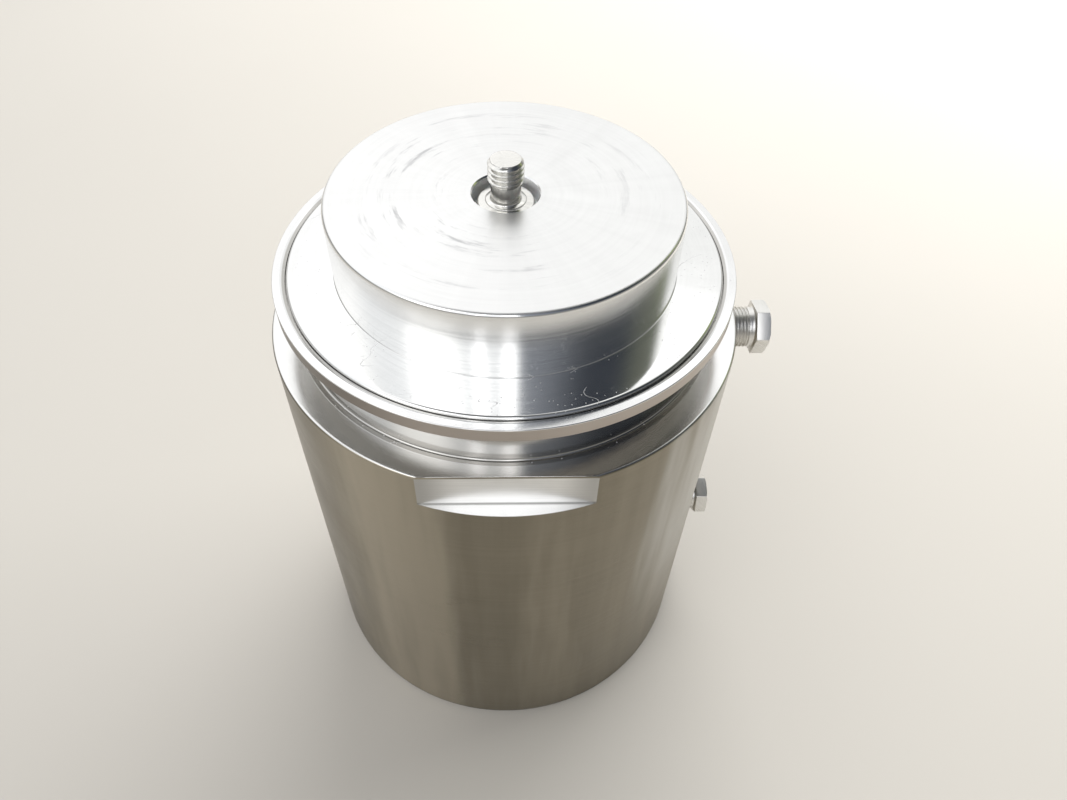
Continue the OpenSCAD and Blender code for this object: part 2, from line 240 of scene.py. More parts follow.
def steel(name, light, dark, rough, ring_mm=4.0, ring_bump=0.25, streak=0.25, smudge=0.3,
          anisotropic=0.5, axis="Z", centre=(0, 0, 0), scratches=0.3, zones=None):
    """Machined stainless steel: tool rings, streaks, smudges, a few scratches.
    zones, if given, changes the colour and roughness by place."""
    g = Graph(name)
    t = Turned(g, axis, centre)
    rings = g.noise(t.rings(ring_mm), 1.0, 4.0, 0.65)
    bands = g.noise(t.rings(ring_mm * 0.12, 1.2), 1.0, 3.0, 0.5)
    streaks = g.noise(t.streaks(), 1.0, 4.0, 0.55)
    clouds = g.noise(t.place, 28.0, 5.0, 0.6, 0.6)
    fine = g.noise(t.place, 420.0, 3.0, 0.6)
    tone = g.math("ADD", g.math("MULTIPLY", streaks, streak), g.math("MULTIPLY", clouds, smudge))
    tone = g.math("ADD", tone, g.math("MULTIPLY", bands, 0.15))
    total = streak + smudge + 0.15
    tone = g.remap(tone, total * 0.34, total * 0.66, 0.0, 1.0)
    colour = g.mix(tone, dark, light)
    g.bsdf.inputs["Metallic"].default_value = 1.0
    g.bsdf.inputs["Anisotropic"].default_value = anisotropic
    g.bsdf.inputs["Anisotropic Rotation"].default_value = 0.25
    tangent = g.add("ShaderNodeTangent", direction_type="RADIAL", axis=axis)
    g.put(g.bsdf.inputs["Tangent"], tangent.outputs[0])
    # long thin scratches: ridges of stretched noise
    scratch_place = g.vector(g.math("MULTIPLY", t.x, 40.0), g.math("MULTIPLY", t.y, 40.0),
                             g.math("MULTIPLY", t.z, 260.0))
    ridge = g.math("ABSOLUTE", g.math("SUBTRACT", g.noise(scratch_place, 1.0, 1.0, 0.3, 2.0), 0.5))
    scratch = g.math("MULTIPLY", g.math("LESS_THAN", ridge, 0.0016), g.math("GREATER_THAN", clouds, 0.52))
    spread = g.math("ADD", g.math("MULTIPLY", rings, 0.5), g.math("MULTIPLY", clouds, 0.5))
    spread = g.remap(spread, 0.3, 0.7, rough * 0.78, rough * 1.3)
    spread = g.math("ADD", spread, g.math("MULTIPLY", fine, 0.03))
    spread = g.math("ADD", spread, g.math("MULTIPLY", scratch, 0.15 * scratches))
    if zones:
        colour, spread = zones(g, t, colour, spread, clouds)
    g.put(g.bsdf.inputs["Base Color"], colour)
    g.put(g.bsdf.inputs["Roughness"], spread)
    marks = g.noise(t.rings(ring_mm * 0.1, 0.1), 1.0, 1.0, 0.5)
    first = g.bump(marks, ring_bump, 0.012 * MM)
    second = g.bump(scratch, scratches, -0.01 * MM, first)
    g.put(g.bsdf.inputs["Normal"], second)
    return g.material


def specks(g, t, colour, spread, how_many, where=1.0):
    """Dust specks and pin scratches on the upward faces, lighter and rougher than the metal."""
    dots = g.math("LESS_THAN", g.voronoi(t.place, 300.0, dimensions="2D"), how_many)
    slant = g.vector(g.math("MULTIPLY", g.math("ADD", t.x, g.math("MULTIPLY", t.y, 0.35)), 16.0),
                     g.math("MULTIPLY", g.math("SUBTRACT", t.y, g.math("MULTIPLY", t.x, 0.35)), 70.0), 0.0)
    ridge = g.math("ABSOLUTE", g.math("SUBTRACT", g.noise(slant, 1.0, 1.0, 0.3), 0.5))
    dots = g.math("MAXIMUM", dots, g.math("LESS_THAN", ridge, 0.0013))
    kept = g.math("GREATER_THAN", g.noise(t.place, 75.0, 2.0, 0.5), 0.52)
    dots = g.math("MULTIPLY", g.math("MULTIPLY", dots, kept), g.ramp(t.up, 0.8, 0.95))
    dots = g.math("MULTIPLY", dots, where)
    return g.mix(dots, colour, (0.9, 0.9, 0.9)), g.blend(dots, spread, 0.6)


def jacket_zones(g, t, colour, spread, clouds):
    """Painted reflections set by the angle around: brownish and light bands at the front, a dark band at the
    left, a plainer grey back; bright wrench flats with painted shade at their ends and in the corner along
    their ledge;
    upward faces that are turned smoother than the satin wall; a painted contact shadow along the bottom edge."""
    around = g.math("MULTIPLY", g.math("ARCTAN2", t.x, g.math("MULTIPLY", t.y, -1.0)), 180 / math.pi)
    around = g.math("ADD", around, g.remap(g.noise(t.streaks(4.0, 5.0), 1.0, 3.0, 0.6), 0.3, 0.7, -9.0, 9.0))
    # painted reflection: a brownish band at the front left and a faint one right of centre, set by the angle
    # around
    painted_warm_reflection = g.math("MAXIMUM", g.band(around, -37, -16, 10), g.math("MULTIPLY", g.band(around, 9, 14, 4), 0.3))
    colour = g.mix(g.math("MULTIPLY", painted_warm_reflection, 0.75), colour, (0.50, 0.45, 0.36))
    # painted highlight: a light band at the front right, fading out towards the bottom
    painted_pale_highlight = g.math("MULTIPLY", g.band(around, 44, 68, 9), g.ramp(t.z, 30 * MM, 120 * MM))
    colour = g.mix(painted_pale_highlight, colour, (0.52, 0.51, 0.48))
    # painted dark reflection: a dark band at the front left, set by the angle around
    colour = g.mix(g.band(around, -75, -52, 8), colour, (0.19, 0.168, 0.132))
    back = g.ramp(g.math("ABSOLUTE", around), 76, 108)
    colour = g.mix(back, colour, g.mix(clouds, (0.33, 0.318, 0.292), (0.41, 0.398, 0.368)))
    up = g.ramp(t.up, 0.6, 0.92)
    colour = g.mix(up, colour, (0.78, 0.78, 0.77))
    spread = g.blend(up, spread, g.remap(clouds, 0.3, 0.7, 0.15, 0.20))
    notch = g.math("MULTIPLY",
                   g.ramp(g.math("ABSOLUTE", t.x), NOTCH_HALF + 0.1 * MM, NOTCH_HALF - 0.1 * MM),
                   g.ramp(t.z, LEDGE_Z - 0.3 * MM, LEDGE_Z - 0.1 * MM))
    notch = g.math("MULTIPLY", notch, g.ramp(t.z, SHOULDER_Z - 0.6 * MM, SHOULDER_Z - 0.9 * MM))
    brush = g.noise(g.vector(g.math("MULTIPLY", t.x, 30.0), 0.0, g.math("MULTIPLY", t.z, 2200.0)),
                    1.0, 3.0, 0.6)
    brushed = g.mix(g.remap(brush, 0.3, 0.7, 0, 1), (0.86, 0.855, 0.84), (0.98, 0.975, 0.96))
    # painted shade: the flats darken towards their ends
    ends = g.math("MULTIPLY", g.ramp(g.math("ABSOLUTE", t.x), 15 * MM, 30 * MM), 0.7)
    wall = g.math("MULTIPLY", notch, g.ramp(t.up, 0.8, 0.4))
    colour = g.mix(wall, colour, g.mix(ends, brushed, (0.36, 0.355, 0.34)))
    spread = g.blend(wall, spread, 0.34)
    # painted shade: a dark line in the inside corner where the flat meets its ledge
    painted_crease_shade = g.math("MULTIPLY", wall, g.ramp(t.z, LEDGE_Z + 1.1 * MM, LEDGE_Z + 0.3 * MM))
    colour = g.mix(g.math("MULTIPLY", painted_crease_shade, 0.75), colour, (0.22, 0.215, 0.20))
    colour = g.mix(g.math("MULTIPLY", notch, up), colour, (0.97, 0.97, 0.96))
    # painted contact shadow: a dark line on the bottom chamfer
    foot = g.ramp(t.z, 1.4 * MM, 0.7 * MM)
    return g.mix(foot, colour, (0.16, 0.15, 0.13)), spread


def flange_zones(g, t, colour, spread, clouds):
    """The flange's top is polished; its edge and the neck are plainly turned. The edge's brownish colour,
    darker towards the left, is painted reflection of a wooden bench; the neck's darker grey is painted shade
    under the flange.
    """
    side = g.ramp(t.z, FLANGE_TOP - 0.25 * MM, FLANGE_TOP - 0.45 * MM)
    edge = g.ramp(t.out, NECK_R + 5 * MM, NECK_R + 6 * MM)
    # painted reflection: the brownish rim, darker towards the left, stands for a reflected wooden bench
    painted_rim_reflection = g.mix(clouds, (0.44, 0.39, 0.35), (0.55, 0.50, 0.46))
    painted_rim_reflection = g.mix(g.ramp(t.x, -20 * MM, -60 * MM), painted_rim_reflection, (0.20, 0.178, 0.16))
    # painted shade: the neck under the flange is a darker grey than the flange's top
    neck = g.mix(clouds, (0.46, 0.45, 0.43), (0.56, 0.55, 0.53))
    colour = g.mix(side, colour, g.mix(edge, neck, painted_rim_reflection))
    spread = g.blend(side, spread, g.blend(edge, 0.17, 0.34))
    return specks(g, t, colour, spread, 0.05)


def lid_zones(g, t, colour, spread, clouds):
    """A satin top with swirl scuffs, a finely turned boss wall, a near-mirror plate and a matt well."""
    up = g.ramp(t.up, 0.75, 0.95)
    top = g.math("MULTIPLY", up, g.ramp(t.z, LID_TOP - 1.0 * MM, LID_TOP - 0.3 * MM))
    plate = g.math("MULTIPLY", up, g.ramp(t.z, LID_PLATE_TOP + 1.0 * MM, LID_PLATE_TOP + 0.3 * MM))
    arcs = g.noise(g.vector(g.math("MULTIPLY", t.cos, 1.3), g.math("MULTIPLY", t.sin, 1.3),
                            g.math("MULTIPLY", t.out, 300.0)), 1.0, 4.0, 0.7)
    scuff = g.math("MULTIPLY", g.ramp(arcs, 0.54, 0.68), g.band(t.out, 0.024, 0.054, 0.008))
    scuff = g.math("MULTIPLY", scuff, g.ramp(clouds, 0.42, 0.58))
    scuff = g.math("MULTIPLY", g.math("MULTIPLY", scuff, top), g.remap(t.x, -20 * MM, 20 * MM, 1.0, 0.45))
    colour = g.mix(g.math("MULTIPLY", scuff, 0.7), colour, (0.48, 0.48, 0.49))
    spread = g.blend(top, spread, g.remap(clouds, 0.3, 0.7, 0.28, 0.36))
    spread = g.math("ADD", spread, g.math("MULTIPLY", scuff, 0.12))
    spread = g.blend(plate, spread, g.remap(clouds, 0.3, 0.7, 0.05, 0.08))
    wall = g.math("MULTIPLY", g.band(t.z, LID_PLATE_TOP, LID_TOP - 1.2 * MM, 0.6 * MM),
                  g.math("MULTIPLY", g.ramp(t.up, 0.6, 0.3), g.ramp(t.out, BOSS_R - 2 * MM, BOSS_R - 1 * MM)))
    lines = g.noise(t.rings(1.2, 0.1), 1.0, 2.0, 0.5)
    turned = g.mix(g.remap(lines, 0.3, 0.7, 0, 1), (0.84, 0.84, 0.83), (0.93, 0.93, 0.92))
    colour = g.mix(wall, colour, turned)
    spread = g.blend(wall, spread, g.remap(lines, 0.3, 0.7, 0.19, 0.23))
    well = g.math("MULTIPLY", g.ramp(t.out, WELL_R + 1.0 * MM, WELL_R + 0.6 * MM), g.ramp(t.up, 0.6, 0.3))
    colour = g.mix(well, colour, (0.95, 0.95, 0.96))
    spread = g.blend(well, spread, 0.42)
    return specks(g, t, colour, spread, 0.06, plate)


def plastic(name, light, dark, rough, grain_bump=0.2, subsurface=0.0):
    """A moulded or pressed non-metal with clouded colour and fine grain."""
    g = Graph(name)
    place = g.add("ShaderNodeTexCoord").outputs["Object"]
    clouds = g.noise(place, 60.0, 4.0, 0.6)
    fine = g.noise(place, 1800.0, 4.0, 0.6)
    g.put(g.bsdf.inputs["Base Color"], g.mix(g.remap(clouds, 0.35, 0.65, 0, 1), dark, light))
    g.put(g.bsdf.inputs["Roughness"], g.remap(fine, 0.3, 0.7, rough * 0.85, min(1.0, rough * 1.15)))
    g.bsdf.inputs["Subsurface Weight"].default_value = subsurface
    g.bsdf.inputs["Subsurface Scale"].default_value = 0.001
    g.put(g.bsdf.inputs["Normal"], g.bump(fine, grain_bump, 0.05 * MM))
    return g.material


def foam_material():
    """Rigid closed-cell foam: small round cells in a cream block."""
    g = Graph("stopper_foam")
    place = g.add("ShaderNodeTexCoord").outputs["Object"]
    cells = g.voronoi(place, 900.0)
    large = g.noise(place, 45.0, 4.0, 0.6)
    tone = g.math("ADD", g.math("MULTIPLY", cells, 0.7), g.math("MULTIPLY", large, 0.5))
    g.put(g.bsdf.inputs["Base Color"],
          g.mix(g.remap(tone, 0.2, 0.9, 0, 1), (0.62, 0.55, 0.40), (0.90, 0.86, 0.74)))
    g.bsdf.inputs["Roughness"].default_value = 0.85
    g.put(g.bsdf.inputs["Normal"], g.bump(cells, 0.5, 0.25 * MM))
    return g.material


def foil_material():
    """Crinkled metallised film."""
    g = Graph("foil")
    place = g.add("ShaderNodeTexCoord").outputs["Object"]
    crinkle = g.voronoi(place, 140.0, "F1")
    fine = g.noise(place, 320.0, 4.0, 0.6, 0.8)
    g.put(g.bsdf.inputs["Base Color"], g.mix(fine, (0.80, 0.80, 0.83), (0.93, 0.93, 0.94)))
    g.bsdf.inputs["Metallic"].default_value = 1.0
    g.put(g.bsdf.inputs["Roughness"], g.remap(fine, 0.3, 0.7, 0.12, 0.3))
    first = g.bump(crinkle, 0.6, 0.6 * MM)
    g.put(g.bsdf.inputs["Normal"], g.bump(fine, 0.3, 0.3 * MM, first))
    return g.material


def beads_material():
    """Packed molecular sieve beads."""
    g = Graph("adsorbent_beads")
    place = g.add("ShaderNodeTexCoord").outputs["Object"]
    beads = g.voronoi(place, 480.0)
    g.put(g.bsdf.inputs["Base Color"], g.mix(beads, (0.88, 0.83, 0.72), (0.52, 0.45, 0.34)))
    g.bsdf.inputs["Roughness"].default_value = 0.8
    g.put(g.bsdf.inputs["Normal"], g.bump(beads, 0.9, -0.8 * MM))
    return g.material


def weave_material():
    """Glass-epoxy: woven glass seen through green-yellow resin."""
    g = Graph("glass_epoxy")
    t = Turned(g)
    warp = g.math("SINE", g.math("MULTIPLY", t.z, 5200.0))
    weft = g.math("SINE", g.math("MULTIPLY", g.math("ARCTAN2", t.y, t.x), 42.0))
    weave = g.remap(g.math("MULTIPLY", warp, weft), -1, 1, 0, 1)
    g.put(g.bsdf.inputs["Base Color"], g.mix(weave, (0.44, 0.50, 0.20), (0.66, 0.70, 0.38)))
    g.put(g.bsdf.inputs["Roughness"], g.remap(weave, 0, 1, 0.3, 0.45))
    g.bsdf.inputs["Coat Weight"].default_value = 0.3
    g.put(g.bsdf.inputs["Normal"], g.bump(weave, 0.2, 0.05 * MM))
    return g.material


# ---- mesh helpers ------------------------------------------------------------

def rounded(corners, support=0.12 * MM, steps=6):
    """A closed outline (r, z, radius) with its corners rounded; radius 0 keeps a corner sharp."""
    out = []
    count = len(corners)
    for i, (r, z, radius) in enumerate(corners):
        here = Vector((r, z))
        before = Vector(corners[i - 1][:2]) - here
        after = Vector(corners[(i + 1) % count][:2]) - here
        if radius <= 0 or before.length < 1e-9 or after.length < 1e-9:
            out.append(here)
            continue
        a, b = before.normalized(), after.normalized()
        half = math.acos(max(-1, min(1, a.dot(b)))) / 2
        if half < 0.02 or half > math.pi / 2 - 0.02:
            out.append(here)
            continue
        reach = min(radius / math.tan(half), before.length * 0.45, after.length * 0.45)
        true_r = reach * math.tan(half)
        centre = here + (a + b).normalized() * (true_r / math.sin(half))
        start, end = here + a * reach, here + b * reach
        if before.length > reach + 2 * support:
            out.append(start + a * support)
        v0, v1 = start - centre, end - centre
        sweep = v0.angle_signed(v1)
        for k in range(steps + 1):
            turn = -sweep * k / steps
            out.append(centre + Vector((v0.x * math.cos(turn) - v0.y * math.sin(turn),
                                        v0.x * math.sin(turn) + v0.y * math.cos(turn))))
        if after.length > reach + 2 * support:
            out.append(end + b * support)
    return out


def finish_mesh(name, bm, sharp_deg=32):
    """Makes the linked object: doubles merged, normals out, smooth with sharp edges by angle."""
    bmesh.ops.remove_doubles(bm, verts=bm.verts, dist=1e-7)
    bmesh.ops.recalc_face_normals(bm, faces=bm.faces)
    mesh = bpy.data.meshes.new(name)
    bm.to_mesh(mesh)
    bm.free()
    mesh.polygons.foreach_set("use_smooth", [True] * len(mesh.polygons))
    mesh.set_sharp_from_angle(angle=math.radians(sharp_deg))
    obj = bpy.data.objects.new(name, mesh)
    bpy.context.scene.collection.objects.link(obj)
    return obj


def grid_mesh(name, rows, closed_rows=True, sharp_deg=32):
    """Rows are rings of points with the same count; consecutive rows are joined by faces."""
    bm = bmesh.new()
    rings = [[bm.verts.new(p) for p in row] for row in rows]
    pairs = list(zip(rings, rings[1:]))
    if closed_rows:
        pairs.append((rings[-1], rings[0]))
    for lower, upper in pairs:
        count = len(lower)
        for k in range(count):
            corners = [lower[k], lower[(k + 1) % count], upper[(k + 1) % count], upper[k]]
            bm.faces.new(corners)
    return finish_mesh(name, bm, sharp_deg)


def ring(radius, z, count):
    """A circle of points about Z."""
    return [(radius * math.cos(2 * math.pi * k / count), radius * math.sin(2 * math.pi * k / count), z)
            for k in range(count)]


def lathe(name, outline, count=256, sharp_deg=32):
    """A closed outline in (r, z) turned about Z. Points on the axis are merged into one."""
    bm = bmesh.new()
    rings = []
    for r, z in ((p[0], p[1]) for p in outline):
        rings.append([bm.verts.new((0, 0, z))] if r < 1e-7 else [bm.verts.new(p) for p in ring(r, z, count)])
    for lower, upper in zip(rings, rings[1:] + rings[:1]):
        if len(lower) == 1 and len(upper) == 1:
            continue
        for k in range(count):
            a = lower[k % len(lower)], lower[(k + 1) % len(lower)]
            b = upper[(k + 1) % len(upper)], upper[k % len(upper)]
            corners = []
            for v in (*a, *b):
                if v not in corners:
                    corners.append(v)
            bm.faces.new(corners)
    return finish_mesh(name, bm, sharp_deg)


def cut(obj, cutter):
    """obj minus cutter, applied to the mesh."""
    modifier = obj.modifiers.new("cut", "BOOLEAN")
    modifier.operation = "DIFFERENCE"
    modifier.solver = "EXACT"
    modifier.object = cutter
    apply_modifiers(obj)
    bpy.data.objects.remove(cutter)


def keep_inside(obj, other):
    """The part of obj that lies in other, applied to the mesh."""
    modifier = obj.modifiers.new("keep", "BOOLEAN")
    modifier.operation = "INTERSECT"
    modifier.solver = "EXACT"
    modifier.object = other
    apply_modifiers(obj)
    bpy.data.objects.remove(other)


def apply_modifiers(obj):
    graph = bpy.context.evaluated_depsgraph_get()
    mesh = bpy.data.meshes.new_from_object(obj.evaluated_get(graph))
    old = obj.data
    obj.modifiers.clear()
    obj.data = mesh
    bpy.data.meshes.remove(old)


def along_x(obj, x, z):
    """Turns a piece built along +Z to lie along +X, its foot at (x, 0, z), in its mesh."""
    obj.data.transform(Matrix.Translation((x, 0, z)) @ Matrix.Rotation(math.pi / 2, 4, "Y"))
    return obj


def dress(obj, material, slot, body, *replaced):
    """Gives a piece its material and body, and hides the CAD nodes it stands for. The slot argument is not
    used.
    """
    obj.data.materials.clear()
    obj.data.materials.append(material)
    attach(obj, body)
    if replaced:
        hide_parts(*replaced)
    return obj


def thread_rows(count, z0, z1, pitch, major, depth, start_len, end_len, step, lead=0.0):
    """Rings of a right-handed screw thread that fades in at z0 and out at z1."""
    rows = []
    steps = max(2, round((z1 - z0) / step))
    for i in range(steps + 1):
        z = z0 + (z1 - z0) * i / steps
        row = []
        for k in range(count):
            angle = 2 * math.pi * k / count
            phase = (z / pitch - angle / (2 * math.pi) + lead) % 1.0
            crest = 1 - abs(2 * phase - 1)                 # 0 at the root, 1 at the crest
            shape = min(1.0, max(0.0, (crest - 0.12) / 0.72))
            fade = min(1.0, (z - z0) / start_len, (z1 - z) / end_len)
            fade = max(0.0, fade)
            r = major - depth * (1 - shape) * (0.25 + 0.75 * fade) if fade > 0 else major - depth * 0.25
            row.append((r * math.cos(angle), r * math.sin(angle), z))
        rows.append(row)
    return rows


# ---- pieces -------------------------------------------------------------------

def build_jacket(material):
    """The jacket: a ring of points whose radius follows the two wrench flats near the top."""
    flat_y = abs(MOUNTS["wrench_flat_front"]["pos_m"][1])
    ledge_z = LEDGE_Z
    edge = 0.8 * MM
    wall_in = JACKET_R - 4 * MM
    base_in = JACKET_R - 12 * MM
    base_r = JACKET_R - 1.8 * MM
    base_t, base_top = 10 * MM, 16 * MM
    count = 360
    reach = math.asin(flat_y / JACKET_R)
    angles = [2 * math.pi * k / count for k in range(count)]
    exact = [reach, math.pi - reach, math.pi + reach, 2 * math.pi - reach]
    for e in exact:
        nearest = min(range(count), key=lambda k: abs(angles[k] - e))
        angles[nearest] = e

    def outer(z, inset=0.0):
        row = []
        for a in angles:
            r = JACKET_R - inset
            if z is not None and z[1]:
                side = abs(math.sin(a))
                if side > 1e-6:
                    r = min(r, (flat_y - inset * 0.35) / side)
            row.append((r * math.cos(a), r * math.sin(a), z[0]))
        return row

    soft = 0.18 * MM
    rows = []
    rows.append(outer((0.0, False), edge))
    rows.append(outer((edge * 0.3, False), edge * 0.45))
    rows.append(outer((edge, False), 0.0))
    for z in (edge + 0.3 * MM, 0.02, 0.05, 0.08, 0.11, 0.14, 0.16, ledge_z - 1.0 * MM, ledge_z - soft):
        rows.append(outer((z, False), 0.0))
    rows.append(outer((ledge_z, False), 0.0))
    rows.append(outer((ledge_z, True), 0.0))
    rows.append(outer((ledge_z + 0.4 * MM, True), 0.0))
    rows.append(outer((SHOULDER_Z - edge * 1.4, True), 0.0))
    rows.append(outer((SHOULDER_Z - edge, True), 0.0))
    rows.append(outer((SHOULDER_Z - edge * 0.62, True), edge * 0.12))
    rows.append(outer((SHOULDER_Z - edge * 0.3, True), edge * 0.34))
    rows.append(outer((SHOULDER_Z - edge * 0.08, True), edge * 0.66))
    rows.append(outer((SHOULDER_Z, True), edge))
    rows.append(outer((SHOULDER_Z, True), edge * 1.5))

    def inner(r, z):
        return [(r * math.cos(a), r * math.sin(a), z) for a in angles]

    bore_end = SHOULDER_Z - RING_BORE_DEPTH
    for r, z in ((RING_BORE_R, SHOULDER_Z), (RING_BORE_R, bore_end),
                 (wall_in, bore_end), (wall_in, base_top), (base_in, base_top),
                 (base_in, base_t), (base_r, base_t), (base_r, 0.0)):
        rows.append(inner(r, z))
    body = grid_mesh("jacket_shell", rows, True, 28)
    for node in ("vacuum_port", "gauge_port"):
        z = (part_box(node + "_plug")[0].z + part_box(node + "_plug")[1].z) / 2
        thread_r = half_width(node + "_tape") + 0.05 * MM
        cutter = lathe("cutter", [(0, 0), (thread_r, 0), (thread_r, 0.05), (0, 0.05)], 64)
        cut(body, along_x(cutter, 0.06, z))
    body.data.set_sharp_from_angle(angle=math.radians(28))
    return dress(body, material, "satin_steel", "vessel", "outer_jacket")


def build_flange(material):
    """The neck with its flange, the seat of the lid and the spigot in the jacket, in one turned ring."""
    outline = rounded([
        (TUBE_R, SPIGOT_Z, 0), (RING_BORE_R, SPIGOT_Z, 0), (RING_BORE_R, SHOULDER_Z, 0),
        (NECK_R + NECK_FILLET, SHOULDER_Z, 0),
        (NECK_R + NECK_FILLET, SHOULDER_Z + NECK_LIP, 0),
        (NECK_R, SHOULDER_Z + NECK_LIP, NECK_FILLET),
        (NECK_R, FLANGE_Z, 0.5 * MM),
        (FLANGE_R, FLANGE_Z, 0.3 * MM),
        (FLANGE_R, FLANGE_TOP, 0.3 * MM),
        (SEAT_R + SEAT_LEAD, FLANGE_TOP, 0.12 * MM),
        (SEAT_R, FLANGE_TOP - SEAT_LEAD_DEPTH, 0.2 * MM),
        (SEAT_R, SEAT_Z, 0), (TUBE_R, SEAT_Z, 0)])
    return dress(lathe("neck_ring", outline, 288, 40), material, "polished_steel", "vessel", "neck_flange")


def build_lid(material):
    """The lid plate with its boss, the well in the top, the cavity below and the hub for the bush."""
    outline = rounded([
        (BUSH_R, HUB_Z, 0.2 * MM), (HUB_R, HUB_Z, 0.3 * MM), (HUB_R, CAVITY_Z, 0),
        (CAVITY_R, CAVITY_Z, 0), (CAVITY_R, SEAT_Z, 0.2 * MM),
        (LID_PLATE_R, SEAT_Z, 0.2 * MM), (LID_PLATE_R, LID_PLATE_TOP, 1.2 * MM),
        (BOSS_R, LID_PLATE_TOP, 0.35 * MM),
        (BOSS_R, LID_TOP, BOSS_CHAMFER),
        (WELL_R + 0.5 * MM, LID_TOP, 0.1 * MM), (WELL_R, LID_TOP - 0.5 * MM, 0.1 * MM),
        (WELL_R, WELL_Z, 0), (BUSH_R, WELL_Z, 0)])
    return dress(lathe("lid_turned", outline, 288, 40), material, "lid_steel", "lid_group", "lid")


def build_rod(material):
    """The lift rod: collar, plain neck and a cut 1/2 inch thread with a turned tip."""
    count = 96
    stud_z = ROD_TOP - STUD_THREAD
    depth = 0.61 * STUD_PITCH
    tip = 1.1 * MM
    bead_r = 7.2 * MM
    collar_top = COLLAR_Z + COLLAR_T
    rows = [ring(1e-5, ROD_END, count), ring(ROD_R - 0.5 * MM, ROD_END, count),
            ring(ROD_R, ROD_END + 0.5 * MM, count), ring(ROD_R, ROD_END + 0.7 * MM, count),
            ring(ROD_R, COLLAR_Z - 0.1 * MM, count), ring(ROD_R, COLLAR_Z, count)]
    for r, z in ((COLLAR_R - 0.3 * MM, COLLAR_Z), (COLLAR_R, COLLAR_Z + 0.3 * MM),
                 (COLLAR_R, collar_top - 0.6 * MM), (COLLAR_R - 0.15 * MM, collar_top - 0.25 * MM),
                 (COLLAR_R - 0.6 * MM, collar_top), (COLLAR_R - 0.7 * MM, collar_top),
                 (bead_r + 0.35 * MM, collar_top), (bead_r + 0.25 * MM, collar_top),
                 (bead_r + 0.05 * MM, collar_top + 0.1 * MM), (bead_r, collar_top + 0.35 * MM),
                 (bead_r - 0.15 * MM, collar_top + 0.5 * MM),
                 (ROD_R + 0.5 * MM, collar_top + 0.5 * MM), (ROD_R + 0.15 * MM, collar_top + 0.65 * MM),
                 (ROD_R, collar_top + 1.1 * MM), (ROD_R, collar_top + 1.25 * MM),
                 (ROD_R, stud_z - 0.4 * MM), (ROD_R, stud_z - 0.25 * MM),
                 (ROD_R + 0.1 * MM, stud_z)):
        rows.append(ring(r, z, count))
    thread = thread_rows(count, stud_z, ROD_TOP - 0.02 * MM, STUD_PITCH, STUD_R, depth,
                         0.7 * MM, 0.2 * MM, 0.09 * MM, STUD_PHASE)
    for row in thread:
        limited = []
        for x, y, z in row:
            r = math.hypot(x, y)
            lead_in = ROD_R + (z - stud_z) * 1.6
            lead_out = STUD_R - tip + (ROD_TOP - z) * 0.95
            cap = max(ROD_R - 0.2 * MM, min(lead_in, lead_out))
            scale = min(r, cap) / r
            limited.append((x * scale, y * scale, z))
        rows.append(limited)
    last = rows[-1]
    for shrink, drop in ((0.94, 0.0), (0.86, 0.0), (0.5, 0.03 * MM), (0.06, 0.05 * MM)):
        rows.append([(x * shrink, y * shrink, ROD_TOP - drop) for x, y, z in last])
    rod = grid_mesh("lift_rod_threaded", rows, False, 50)
    close_ends(rod)
    return dress(rod, material, "plug_steel", "rod_group", "lift_rod")


def close_ends(obj):
    bm = bmesh.new()
    bm.from_mesh(obj.data)
    open_edges = [e for e in bm.edges if len(e.link_faces) == 1]
    if open_edges:
        bmesh.ops.holes_fill(bm, edges=open_edges, sides=0)
    bmesh.ops.recalc_face_normals(bm, faces=bm.faces)
    bm.to_mesh(obj.data)
    bm.free()


def hex_head(name, across_flats, thick, turn_deg):
    """A hexagon with its outer corners turned off, standing on z = 0."""
    corner = across_flats / 2 / math.cos(math.pi / 6)
    bm = bmesh.new()
    rings = []
    for z in (0.0, thick):
        angles = [math.radians(turn_deg + 60 * k) for k in range(6)]
        rings.append([bm.verts.new((corner * math.cos(a), corner * math.sin(a), z)) for a in angles])
    for k in range(6):
        bm.faces.new([rings[0][k], rings[0][(k + 1) % 6], rings[1][(k + 1) % 6], rings[1][k]])
    bm.faces.new(rings[0][::-1])
    bm.faces.new(rings[1])
    prism = finish_mesh(name, bm, 30)
    bevel = prism.modifiers.new("edge", "BEVEL")
    bevel.width = 0.22 * MM
    bevel.segments = 3
    apply_modifiers(prism)
    turned = lathe(name + "_turned", rounded([
        (0, -1 * MM, 0), (corner - 0.5 * MM, -0.6 * MM, 0), (corner + 0.6 * MM, 0.5 * MM, 0),
        (corner + 0.6 * MM, thick - 1.0 * MM, 0), (across_flats / 2 + 0.2 * MM, thick + 0.02 * MM, 0.3 * MM),
        (across_flats / 2 - 0.3 * MM, thick - 0.02 * MM, 0),
        (0, thick - 0.02 * MM, 0)]), 180, 30)
    keep_inside(prism, turned)
    prism.data.polygons.foreach_set("use_smooth", [True] * len(prism.data.polygons))
    prism.data.set_sharp_from_angle(angle=math.radians(20))
    return prism


